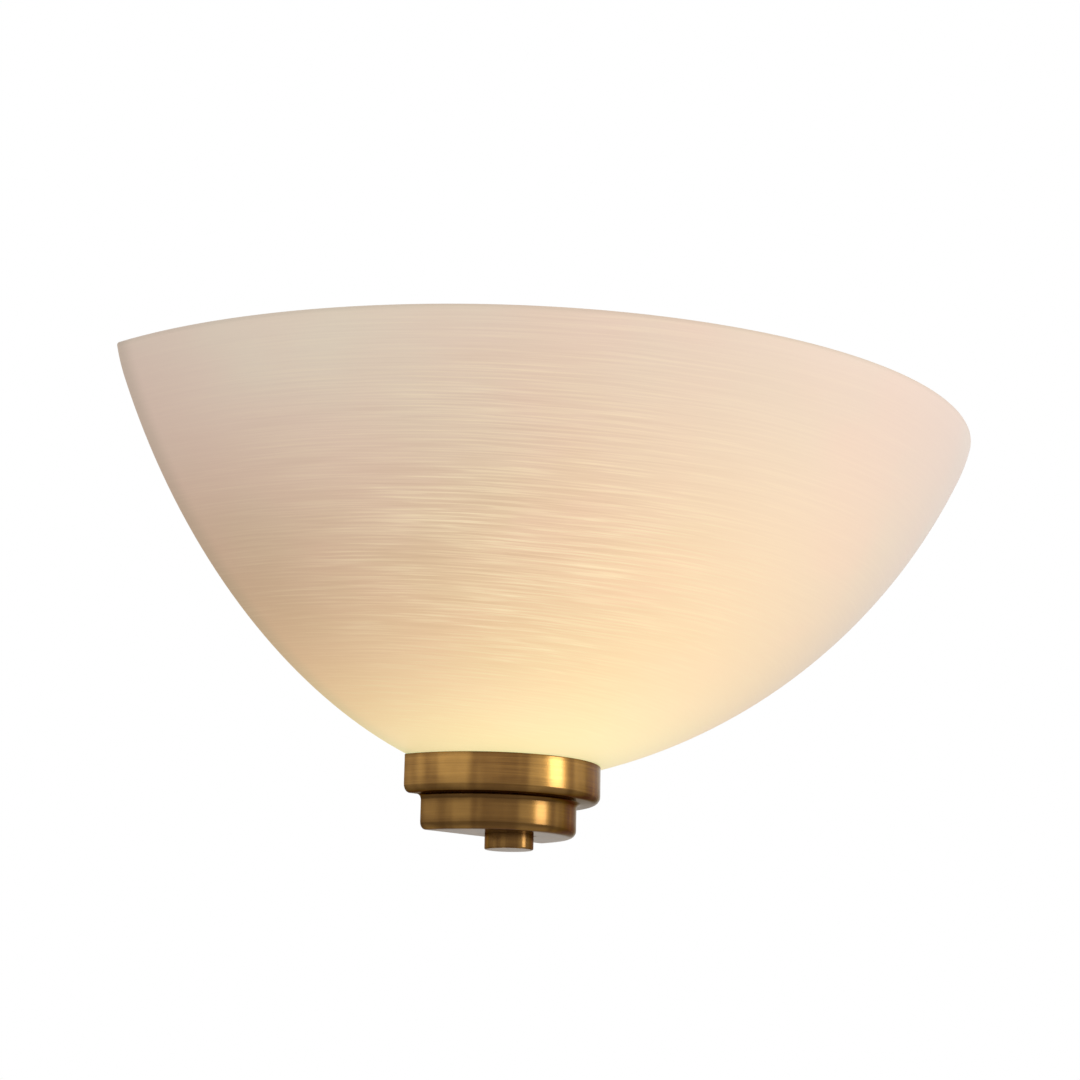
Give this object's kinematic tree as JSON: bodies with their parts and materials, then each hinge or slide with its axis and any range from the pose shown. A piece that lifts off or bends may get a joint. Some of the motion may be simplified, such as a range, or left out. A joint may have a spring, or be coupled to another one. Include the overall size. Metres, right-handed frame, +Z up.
{
  "type": "wall uplighter",
  "caption": "Half-bowl wall uplighter: a cream painted glass shade held up in a stepped brass half cup by a finial knob, with a small screw-cap lamp on a steel wall plate inside.",
  "frame": {"origin": "on the wall, midway between the two slots for the wall screws, on the back face of the wall plate", "axes": "+Y into the wall, so the light stands out towards -Y; +X along the wall to the right as seen from the room; +Z up"},
  "size_m": [0.3, 0.15, 0.1274],
  "materials": {
    "painted_glass": "cream painted and brushed with fine streaks, satin",
    "antique_brass": "spun, brushed round and antiqued",
    "zinc_plated_steel": "pressed and bright zinc plated",
    "screw_steel": "bright zinc plated",
    "black_rubber": "matt moulded rubber",
    "grey_rubber": "matt cut sheet rubber",
    "black_moulding": "moulded heat-resisting plastic",
    "cream_ceramic": "pressed steatite",
    "plain_brass": "drawn and stamped",
    "tinned_copper": "tinned and crimped",
    "white_moulding": "moulded nylon",
    "brown_sleeve": "wire insulation",
    "blue_sleeve": "wire insulation",
    "green_sleeve": "green and yellow wire insulation",
    "black_glass": "fused black glass",
    "lamp_cap_metal": "thin rolled metal",
    "opal_glass": "opal, lit from inside",
    "clear_glass": "clear drawn glass",
    "filament_metal": "fine drawn wire"
  },
  "bodies": {
    "wall_unit": {"wall_plate": "zinc_plated_steel", "cable_grommet": "black_rubber", "support_arm": "zinc_plated_steel", "arm_screws": "screw_steel", "clamp_stud": "screw_steel", "stud_top_nut": "screw_steel", "stud_lower_nut": "screw_steel", "clamp_plate": "zinc_plated_steel", "inner_gasket": "grey_rubber", "lamp_bridge": "zinc_plated_steel", "bridge_screws": "screw_steel", "nipple": "screw_steel", "nipple_nut": "screw_steel", "nipple_washer": "screw_steel", "holder_cap": "black_moulding", "holder_skirt": "black_moulding", "holder_core": "cream_ceramic", "screw_shell": "plain_brass", "contact_spring": "plain_brass", "terminal_block": "white_moulding", "terminal_tubes": "plain_brass", "terminal_screws": "screw_steel", "block_screw": "screw_steel", "earth_tag": "tinned_copper", "earth_screw": "screw_steel", "earth_washer": "screw_steel", "live_wire": "brown_sleeve", "neutral_wire": "blue_sleeve", "earth_wire": "green_sleeve"},
    "shade": {"glass_shade": "painted_glass", "outer_gasket": "grey_rubber", "outer_plate": "zinc_plated_steel", "spacer_tube": "zinc_plated_steel", "stepped_cup": "antique_brass"},
    "knob": {"finial_knob": "antique_brass"},
    "lamp_carrier": {"bulb_contact": "tinned_copper"},
    "lamp": {"bulb_insulator": "black_glass", "bulb_cap": "lamp_cap_metal", "bulb_glass": "opal_glass", "bulb_stem": "clear_glass", "bulb_leads": "lamp_cap_metal", "bulb_filament": "filament_metal"}
  },
  "joints": [
    {"name": "shade_drop", "type": "slide", "parent": "wall_unit", "child": "shade", "axis": [0, 0, -1], "range_m": [0, 0.007]},
    {"name": "knob_turn", "type": "hinge", "parent": "shade", "child": "knob", "pos_m": [0, -0.0103, -0.0802], "axis": [0, 0, -1], "range_deg": [0, 2520]},
    {"name": "lamp_draw", "type": "slide", "parent": "wall_unit", "child": "lamp_carrier", "axis": [0, -1, 0], "range_m": [0, 0.00988]},
    {"name": "lamp_turn", "type": "hinge", "parent": "lamp_carrier", "child": "lamp", "pos_m": [0, -0.03, 0.01], "axis": [0, -1, 0], "range_deg": [0, 1260]}
  ],
  "couplings": [
    {"joint": "knob_turn", "follows": "shade_drop", "rad_per_m": 6283.2},
    {"joint": "lamp_turn", "follows": "lamp_draw", "rad_per_m": 2226.5}
  ]
}
